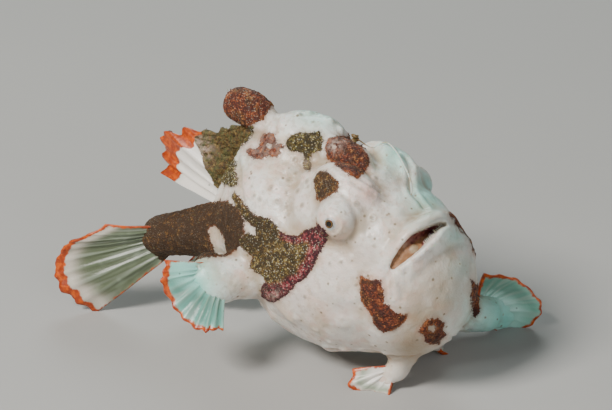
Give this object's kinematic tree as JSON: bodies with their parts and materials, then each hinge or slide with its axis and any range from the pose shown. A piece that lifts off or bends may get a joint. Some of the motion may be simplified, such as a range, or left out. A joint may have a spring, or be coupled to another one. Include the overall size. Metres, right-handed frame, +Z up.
{
  "type": "frogfish",
  "caption": "Life-size warty frogfish, white with red-brown scab-like patches and orange fin edges, resting on its hand-like fins with its mouth part open.",
  "frame": {"origin": "middle of the bounding box on the floor that the fins rest on", "axes": "+X towards the snout, +Y towards the fish's left, +Z up"},
  "size_m": [0.0864, 0.0626, 0.0496],
  "materials": {
    "skin": "moist smooth skin, white with red-brown and olive patches",
    "scab_patch": "rough granular red-brown skin",
    "fin_membrane": "thin white membrane over rays, with an orange edge",
    "eye": "clear cornea over a white iris with a small black pupil",
    "lure": "thin pale rod with a soft bait at its tip",
    "mouth": "dark red-brown wet lining"
  },
  "bodies": {
    "root": {"head": "skin", "lower_jaw": "skin", "torso": "skin", "tail": "skin", "pectoral_arm_left": "skin", "pectoral_arm_right": "skin", "pelvic_leg_left": "skin", "pelvic_leg_right": "skin", "soft_dorsal_fin": "fin_membrane", "caudal_fin": "fin_membrane", "anal_fin": "fin_membrane", "pectoral_fin_left": "fin_membrane", "pectoral_fin_right": "fin_membrane", "pelvic_fin_left": "fin_membrane", "pelvic_fin_right": "fin_membrane", "second_dorsal_spine": "scab_patch", "third_dorsal_spine": "scab_patch", "illicium": "lure", "eye_right": "eye", "eye_left": "eye"}
  },
  "joints": []
}
